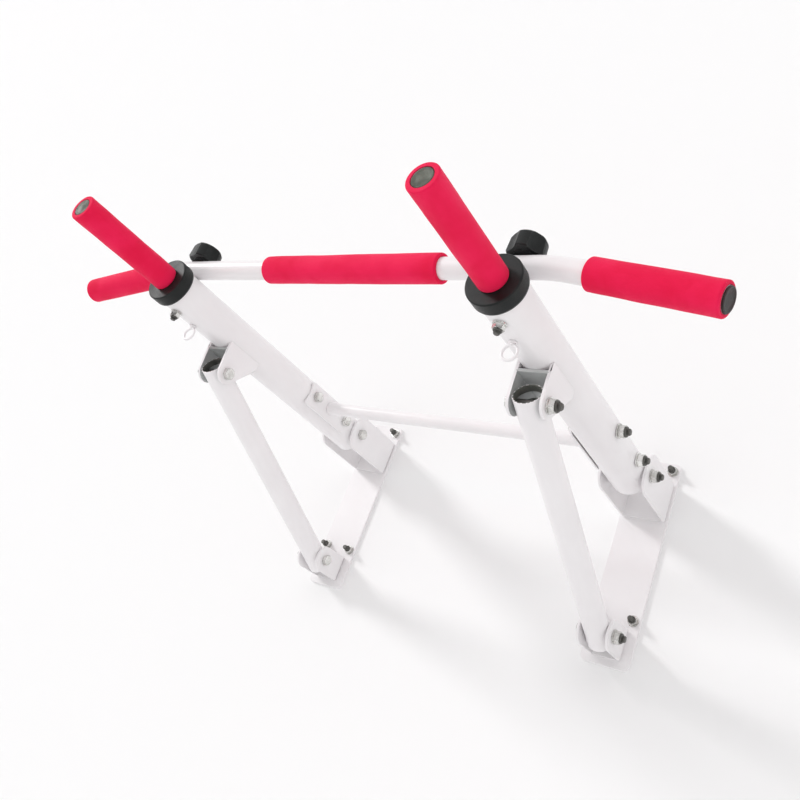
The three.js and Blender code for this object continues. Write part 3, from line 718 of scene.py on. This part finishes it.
zinc, tree, shader = new_material("zinc_plate", Metallic=1.0)
marks = use(tree, handling, Size=60.0)
rims = use(tree, edge_wear_and_corner_shade, Breakup=500.0)
colour = mixed(tree, marks["Patches"], ZINC, ZINC_DULL)
# Inner corners are darkened as painted shade, and edges as painted dark reflection.
colour = mixed(tree, rims["Corner Shade"], colour, ZINC_CORNER_SHADE)
colour = mixed(tree, rims["Edges"], colour, ZINC_EDGE_REFLECTION)
tree.links.new(shader.inputs["Base Color"], colour)
tree.links.new(shader.inputs["Roughness"], spread(tree, marks["Patches"], 0, 1, to_low=0.18, to_high=0.36))
relief(tree, shader, use(tree, grain, Broad=900.0, Fine=3000.0)["Height"], depth=0.0001, strength=0.4)

# The threads are oiled. Threads and the nylon rings of the nuts are painted dark as painted shade and
# painted dark reflection.
thread_steel, tree, shader = new_material("thread_steel", Metallic=0.6)
marks = use(tree, handling, Size=80.0)
tree.links.new(shader.inputs["Base Color"], mixed(tree, marks["Scuffs"], THREAD_SHADE, THREAD_WORN))
tree.links.new(shader.inputs["Roughness"], spread(tree, marks["Patches"], 0, 1, to_low=0.3, to_high=0.5))
relief(tree, shader, use(tree, grain, Broad=900.0, Fine=3000.0)["Height"], depth=0.0001, strength=0.4)


def coated(piece, material):
    """Gives one part of a fastener its material."""
    piece.data.materials.append(material)
    return piece


def hexagon(name, flats, bottom, top, chamfered_bottom=False):
    """A hexagon along +Z, its corners trimmed by a chamfer at the top and, if wanted, at the bottom."""
    corner = flats / math.sqrt(3)
    trim = 0.16 * flats / 2
    prism = turned(name, (0, 0, 0), (0, 0, 1), [(corner, bottom), (corner, top)], sides=6, closed=False)
    rounds = [(flats / 2, top), (corner + 0.0002, top - trim), (corner + 0.0002, bottom)]
    if chamfered_bottom:
        rounds[2:] = [(corner + 0.0002, bottom + trim), (flats / 2, bottom)]
    cut(prism, turned("trim", (0, 0, 0), (0, 0, 1), rounds, sides=60, closed=False), "INTERSECT")
    return prism


def thread(size, start, end):
    """The rings of a thread's profile from one distance to another, with a chamfered tip."""
    radius, pitch = size["radius"], size["pitch"]
    turns = int((end - start - pitch) / pitch)
    crests = [(radius - 0.6 * pitch * (k % 2), start + pitch * k / 2) for k in range(2 * turns + 1)]
    return crests + [(radius, end - pitch), (radius - 0.7 * pitch, end)]


def joined(name, pieces):
    """The parts of one fastener, tightened together, as one piece."""
    only(pieces[0])
    for piece in pieces:
        piece.select_set(True)
    bpy.ops.object.join()
    return settled(name)


def washer(size, face):
    """A flat washer that lies on a face at some height."""
    top = face + size["washer_thick"]
    hole, outer = size["radius"] + HAIR, size["washer"]
    ring = turned("washer", (0, 0, 0), (0, 0, 1), [(hole, face), (outer, face), (outer, top), (hole, top)],
                  sides=40)
    soften(ring, width=0.0003, segments=2)
    return ring


def lock_nut(size, face):
    """A washer and a lock nut on it, upwards from a face, with the round collar of its nylon ring."""
    seat = face + size["washer_thick"]
    top = seat + size["nut"]
    radius, collar_top = size["flats"] / 2 - 0.001, top + size["collar"]
    nut = hexagon("nut", size["flats"], seat, top)
    soften(nut, width=0.0002, segments=2)
    ring = turned("nut_collar", (0, 0, 0), (0, 0, 1), [
        (size["radius"], top - 0.0005), (radius, top - 0.0005), (radius, collar_top - 0.001),
        (radius - 0.0009, collar_top), (size["radius"] + 0.0007, collar_top),
        (size["radius"], collar_top - 0.0006)], sides=32)
    return [coated(washer(size, face), zinc), coated(nut, zinc), coated(ring, thread_steel)]


def cross_bolt(size, head_face, nut_face, end):
    """A bolt along +Z through the origin, with its head below, and its washer and lock nut above."""
    bolt_head = hexagon("head", size["flats"], head_face, head_face + size["head"])
    with editing(bolt_head):
        bpy.ops.transform.resize(value=(1, 1, -1), center_override=(0, 0, 0))
        bpy.ops.mesh.flip_normals()
    soften(bolt_head, width=0.0003, segments=2)
    radius = size["radius"]
    shank = turned("shank", (0, 0, 0), (0, 0, 1),
                   [(radius, -head_face - 0.001)] + thread(size, nut_face, end), sides=32, closed=False)
    parts = [coated(shank, thread_steel), coated(bolt_head, zinc), *lock_nut(size, nut_face)]
    return joined("cross_bolt", parts)


def placed(pattern, name, at, direction):
    """A copy of a fastener with a mesh of its own, turned from +Z to the direction and put at its place."""
    only(pattern)
    bpy.ops.object.duplicate()
    copy = bpy.context.object
    copy.location = at
    copy.rotation_euler = Vector(direction).to_track_quat("Z", "Y").to_euler()
    return settled(name)


BOLT_REACH = 0.017  # how far a bolt's end stands out past the face that its washer lies on
ARM_FACE = 0.0358  # from an arm's middle to just off the outer faces of its hinge bracket
BRACE_FACE = 0.0243  # and to those of the brace's brackets
PLATE_FACE = 0.0053  # from the wall to just off the front of a wall plate
bolt_rows = {
    "pivot_bolt": (pivot, ARM_FACE, "wall_mount"),
    "foot_bolt": (foot, BRACE_FACE, "wall_mount"),
    "head_bolt": (head, BRACE_FACE, "arm_frame"),
}
for name, (at, face, body) in bolt_rows.items():
    pattern = cross_bolt(M10, face, face, face + BOLT_REACH)
    bolt = placed(pattern, f"right_{name}", at, (1, 0, 0))
    fit_both(bolt, body, zinc, "zinc_steel", name)
    bpy.data.objects.remove(pattern)

plate_face = ARM_RADIUS + 2 * HAIR + TIE_PLATE_THICK
pattern = cross_bolt(M10, plate_face, -under_arm, BOLT_REACH - under_arm)
for number in (1, 2):
    low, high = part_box(f"tie_bolt_right_{number}")
    at = (ARM_X, (low.y + high.y) / 2, (low.z + high.z) / 2)
    bolt = placed(pattern, f"right_tie_bolt_{number}", at, (1, 0, 0))
    for fitted, side in ((other_side(bolt), "left"), (bolt, "right")):
        fit(fitted, "arm_frame", zinc, "zinc_steel", f"tie_bolt_{side}_{number}")
bpy.data.objects.remove(pattern)

WALL_THREAD = (0.006, 0.024)  # where a wall stud's thread starts and ends, from the wall
stud = turned("stud", (0, 0, 0), (0, 0, 1), [(M8["radius"], 0)] + thread(M8, *WALL_THREAD), sides=32,
              closed=False)
pattern = joined("wall_bolt", [coated(stud, thread_steel), *lock_nut(M8, PLATE_FACE)])
for side in ("left", "right"):
    for number in (1, 2, 3, 4):
        low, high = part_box(f"wall_bolt_{side}_{number}")
        at = ((low.x + high.x) / 2, 0, (low.z + high.z) / 2)
        bolt = placed(pattern, f"wall_stud_{side}_{number}", at, (0, -1, 0))
        fit(bolt, "wall_mount", zinc, "zinc_steel", f"wall_bolt_{side}_{number}")
bpy.data.objects.remove(pattern)

# ---------- eye bolts ----------
# A small welded eye under each arm takes a carabiner; its shank goes through the tube's lower wall. It
# is powder coated like the arm.
EYE_RING = 0.0098
EYE_WIRE = 0.0018
EYE_SHANK = 0.003
EYE_FLANGE = 0.005
FLANGE_THICK = 0.0024
SHANK_TOP = -0.0195
NUT_FLATS = 0.010
NUT_BOTTOM = -0.026
NUT_TOP = -0.021

low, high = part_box("eye_bolt_right")
eye_centre = Vector((ARM_X, (low.y + high.y) / 2, low.z + EYE_RING + EYE_WIRE))
bpy.ops.object.select_all(action="DESELECT")
bpy.ops.mesh.primitive_torus_add(location=eye_centre, rotation=(math.pi / 2, 0, 0), major_radius=EYE_RING,
                                 minor_radius=EYE_WIRE, major_segments=48, minor_segments=16)
eye = settled("eye")
shank = turned("shank", (ARM_X, eye_centre.y, 0), (0, 0, 1), [
    (EYE_SHANK - 0.0002, eye_centre.z + EYE_RING), (EYE_SHANK, eye_centre.z + EYE_RING + 0.001),
    (EYE_SHANK, SHANK_TOP)], sides=28, closed=False)
flange = turned("flange", (ARM_X, eye_centre.y, 0), (0, 0, 1), [
    (EYE_SHANK + 0.0001, under_arm - FLANGE_THICK), (EYE_FLANGE - 0.0002, under_arm - FLANGE_THICK),
    (EYE_FLANGE, under_arm - 0.75 * FLANGE_THICK), (EYE_FLANGE, under_arm),
    (EYE_SHANK + 0.0001, under_arm)], sides=32)
nut = hexagon("nut", NUT_FLATS, NUT_BOTTOM, NUT_TOP, chamfered_bottom=True)
nut.location = (ARM_X, eye_centre.y, 0)
only(nut)
settled("nut")
eye_bolt = joined("right_eye_bolt", [eye, shank, flange, nut])
fit_both(eye_bolt, "arm_frame", powder_coat, "white_powder_coat", "eye_bolt")

# ---------- clamp knobs and their studs ----------
# An M8 stud rises through arm, handle tube and bar, held under the arm by a washer and lock nut. The
# black lobed knob on its top end is screwed down by hand to clamp the bar.
STUD_TOP = 0.076
STUD_BOTTOM = -0.044

low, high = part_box("clamp_knob_right")
knob_at = joint_at["knob_turn_right"]
stud_profile = [(0.75 * M8["radius"], STUD_BOTTOM)]
stud_profile += thread(M8, STUD_BOTTOM + 0.001, under_arm) + thread(M8, bar_z, STUD_TOP)
stud = turned("stud", (ARM_X, bar_y, 0), (0, 0, 1), stud_profile, sides=32, closed=False)
lower_nut = joined("lower_nut", lock_nut(M8, 0))
hanging = placed(lower_nut, "hanging_nut", (ARM_X, bar_y, under_arm), (0, 0, -1))
bpy.data.objects.remove(lower_nut)
stud = joined("right_knob_stud", [coated(stud, thread_steel), hanging])
fit_both(stud, "arm_frame", zinc, "zinc_steel", "knob_stud")

KNOB_RADIUS = 0.023
KNOB_LOBES = 4
KNOB_HEIGHT = high.z - low.z
KNOB_BOSS = 0.001
SCALLOP_RADIUS = 0.030
SCALLOP_AT = 0.0482  # distance of each scallop's centre from the knob's axis
KNOB_TURN = {"left": 31, "right": 10}  # degrees

for side, way in (("left", -1), ("right", 1)):
    foot_at = Vector((way * knob_at.x, knob_at.y, knob_at.z))
    knob = turned(f"clamp_knob_body_{side}", foot_at, (0, 0, 1), [
        (0.013, 0), (0.0132, KNOB_BOSS), (KNOB_RADIUS - 0.0015, KNOB_BOSS),
        (KNOB_RADIUS, KNOB_BOSS + 0.002),
        (KNOB_RADIUS - 0.001, KNOB_HEIGHT - 0.005), (KNOB_RADIUS - 0.0035, KNOB_HEIGHT - 0.0015),
        (KNOB_RADIUS - 0.007, KNOB_HEIGHT), (0.009, KNOB_HEIGHT), (0.0085, KNOB_HEIGHT - 0.0012)],
        sides=90, closed=False)
    for lobe in range(KNOB_LOBES):
        angle = math.radians(KNOB_TURN[side]) + 2 * math.pi * (lobe + 0.5) / KNOB_LOBES
        centre = foot_at + SCALLOP_AT * Vector((math.cos(angle), math.sin(angle), 0))
        cut(knob, turned("scallop", centre, (0, 0, 1), [
            (SCALLOP_RADIUS, -0.001), (SCALLOP_RADIUS, KNOB_HEIGHT + 0.001)], closed=False))
    soften(knob, width=0.0009)
    drill(knob, foot_at - Vector((0, 0, 0.001)), (0, 0, 1), STUD_HOLE, STUD_TOP - knob_at.z + 0.002)
    fit(knob, f"knob_{side}", black_plastic, "black_plastic", f"clamp_knob_{side}")

# ---------- pieces inside the tubes ----------
# Sleeves round the hinge bolts, the bush that steadies each handle and the handle tubes are nearly
# hidden, so their plain machined shapes stay and only take their finish.
for side in ("left", "right"):
    for name, material in (("pivot_sleeve", zinc), ("foot_sleeve", zinc), ("handle_tube", zinc),
                           ("handle_bush", black_plastic)):
        piece = frame["nodes"][f"{name}_{side}"]
        piece.data.materials.clear()
        piece.data.materials.append(material)

# ---------- wall, floor, light and camera ----------
# A plain white wall behind the plates and a pale floor well below, lit by a soft-edged light from the
# upper left and by an even white surround. The wall is clear from behind and to light that starts right
# at it, so it hides nothing and leaves the plates' backs lit.
WALL_GAP = 0.0008
WALL_SIZE = 60
WALL_WHITE = (0.93, 0.93, 0.93, 1)
SHORT_RAY = 2.5 * WALL_GAP  # light that has come less far than this starts at the wall
FLOOR_Z = -2.3
FLOOR_SIZE = 20
FLOOR_WHITE = (0.86, 0.86, 0.86, 1)
SURROUND_STRENGTH = 0.86
KEY_AT = (-2.2, -2.1, 1.15)
KEY_ANGLE = math.radians(11)
KEY_STRENGTH = 1.05
KEY_DIRECTION = Vector((0.75, 0.56, -0.36))
CAMERA_AT = (0.74345, -1.23676, -0.45687)
CAMERA_TURN = [math.radians(angle) for angle in (111.588, -20.5437, 31.5721)]
CAMERA_LENS = 37.98

wall_paint, tree, shader = new_material("wall_paint", Roughness=0.9)
shader.inputs["Base Color"].default_value = WALL_WHITE
clear = tree.nodes.new("ShaderNodeBsdfTransparent")
facing = tree.nodes.new("ShaderNodeNewGeometry")
short = node(tree, "ShaderNodeMath", [(0, tree.nodes.new("ShaderNodeLightPath").outputs["Ray Length"])],
             operation="LESS_THAN")
short.inputs[1].default_value = SHORT_RAY
gone = node(tree, "ShaderNodeMath", [(0, facing.outputs["Backfacing"]), (1, short.outputs[0])],
            operation="MAXIMUM")
either = tree.nodes.new("ShaderNodeMixShader")
tree.links.new(either.inputs[0], gone.outputs[0])
tree.links.new(either.inputs[1], shader.outputs[0])
tree.links.new(either.inputs[2], clear.outputs[0])
tree.links.new(tree.nodes["Material Output"].inputs["Surface"], either.outputs[0])
floor_paint, tree, shader = new_material("floor_paint", Roughness=0.8)
shader.inputs["Base Color"].default_value = FLOOR_WHITE

bpy.ops.object.select_all(action="DESELECT")
bpy.ops.mesh.primitive_plane_add(size=WALL_SIZE, location=(0, WALL_GAP, 0), rotation=(math.pi / 2, 0, 0))
wall = settled("wall")
wall.data.materials.append(wall_paint)
bpy.ops.object.select_all(action="DESELECT")
bpy.ops.mesh.primitive_plane_add(size=FLOOR_SIZE, location=(0, 0, FLOOR_Z))
floor = settled("floor")
floor.data.materials.append(floor_paint)

surround = bpy.data.worlds.new("surround")
surround.use_nodes = True
surround.node_tree.nodes["Background"].inputs["Color"].default_value = (1.0, 0.99, 0.995, 1)
surround.node_tree.nodes["Background"].inputs["Strength"].default_value = SURROUND_STRENGTH
bpy.context.scene.world = surround

bpy.ops.object.light_add(type="SUN", location=KEY_AT)
key = bpy.context.object
key.name = "key_light"
key.data.angle = KEY_ANGLE
key.data.energy = KEY_STRENGTH
key.rotation_euler = KEY_DIRECTION.to_track_quat("-Z", "Y").to_euler()

bpy.ops.object.camera_add(location=CAMERA_AT, rotation=CAMERA_TURN)
camera = bpy.context.object
camera.data.lens = CAMERA_LENS
bpy.context.scene.camera = camera
